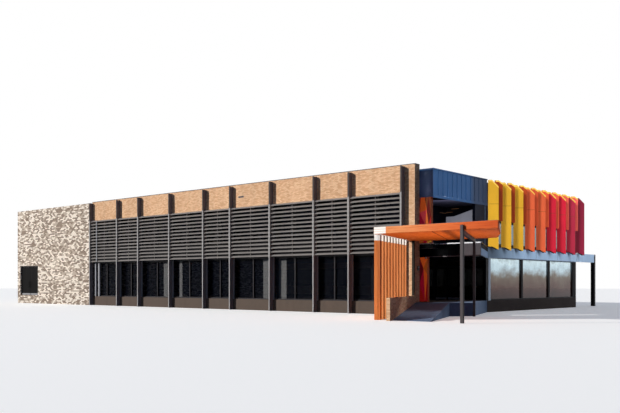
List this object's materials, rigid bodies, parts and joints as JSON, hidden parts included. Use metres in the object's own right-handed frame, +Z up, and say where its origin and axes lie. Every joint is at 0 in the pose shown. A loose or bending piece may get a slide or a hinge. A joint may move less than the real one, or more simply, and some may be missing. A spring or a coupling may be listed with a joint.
{
  "type": "school building, scale model 1:2",
  "caption": "Long two-storey school building with a louvred brick front, a checkered end pavilion, a timber entry canopy and a side wall of bright raked blades.",
  "frame": {"origin": "middle of the building's box in plan, at the lowest ground that it meets", "axes": "+X along the long front towards the entry, +Y from the long front to the rear, +Z up"},
  "size_m": [28.18, 16.8, 4.665],
  "materials": {
    "tan_brick": "matte brickwork",
    "checker_brick": "mixed cream and brown blockwork",
    "concrete": "plain concrete",
    "charcoal_metal": "satin powder coat",
    "louvre_metal": "satin anodised",
    "glass": "dark tinted glass",
    "navy_panel": "gloss panels",
    "colour_panel": "triangles of red, orange and brown",
    "blue_metal": "satin standing-seam trays",
    "pale_metal": "satin powder coat",
    "roofing": "grey sheet",
    "yellow_blade": "satin powder coat",
    "orange_blade": "satin powder coat",
    "red_blade": "satin powder coat",
    "crimson_blade": "satin powder coat",
    "terracotta_blade": "satin powder coat",
    "timber": "oiled orange timber boards",
    "steel": "satin paint",
    "door_panel": "satin paint"
  },
  "bodies": {
    "building": {"main_podium": "concrete", "pavilion_podium": "checker_brick", "entry_ramp": "concrete", "ramp_wall": "tan_brick", "first_floor": "concrete", "roof_slab": "roofing", "corner_pier": "tan_brick", "front_spandrel": "charcoal_metal", "front_parapet": "tan_brick", "front_coping": "charcoal_metal", "front_fins": "louvre_metal", "front_posts": "pale_metal", "front_louvres": "louvre_metal", "front_frames": "charcoal_metal", "front_glass": "glass", "pavilion_front_piers": "checker_brick", "pavilion_front_lintel": "checker_brick", "pavilion_side_walls": "checker_brick", "pavilion_roof": "roofing", "pavilion_door_frame": "charcoal_metal", "panel_walls": "colour_panel", "entry_side_walls": "charcoal_metal", "entry_awning": "navy_panel", "entry_screen": "charcoal_metal", "entry_screen_glass": "glass", "terrace_walls": "pale_metal", "terrace_ceiling": "charcoal_metal", "metal_box": "blue_metal", "blade_wall": "charcoal_metal", "wing_frames": "charcoal_metal", "wing_glass": "glass", "wing_beam": "pale_metal", "yellow_blades": "yellow_blade", "orange_blades": "orange_blade", "red_blades": "red_blade", "crimson_blades": "crimson_blade", "short_blades": "terracotta_blade", "blade_rails": "charcoal_metal", "rear_porch": "pale_metal", "porch_posts": "charcoal_metal", "canopy_roof": "timber", "timber_screen": "timber", "steel_portal": "steel", "rear_walls": "tan_brick", "rear_frames": "charcoal_metal", "rear_glass": "glass"},
    "entry_left_door": {"entry_left_leaf": "door_panel", "entry_left_pane": "glass"},
    "entry_right_door": {"entry_right_leaf": "door_panel", "entry_right_pane": "glass"},
    "pavilion_left_door": {"pavilion_left_leaf": "door_panel"},
    "pavilion_right_door": {"pavilion_right_leaf": "door_panel"}
  },
  "joints": [
    {"name": "entry_left_hinge", "type": "hinge", "parent": "building", "child": "entry_left_door", "pos_m": [8.096, -1.32, 0.4], "axis": [0, 0, -1], "range_deg": [0, 90]},
    {"name": "entry_right_hinge", "type": "hinge", "parent": "building", "child": "entry_right_door", "pos_m": [9.084, -1.32, 0.4], "axis": [0, 0, 1], "range_deg": [0, 90]},
    {"name": "pavilion_left_hinge", "type": "hinge", "parent": "building", "child": "pavilion_left_door", "pos_m": [-13.769, -5.03, 0.4], "axis": [0, 0, -1], "range_deg": [0, 90]},
    {"name": "pavilion_right_hinge", "type": "hinge", "parent": "building", "child": "pavilion_right_door", "pos_m": [-12.191, -5.03, 0.4], "axis": [0, 0, 1], "range_deg": [0, 90]}
  ]
}
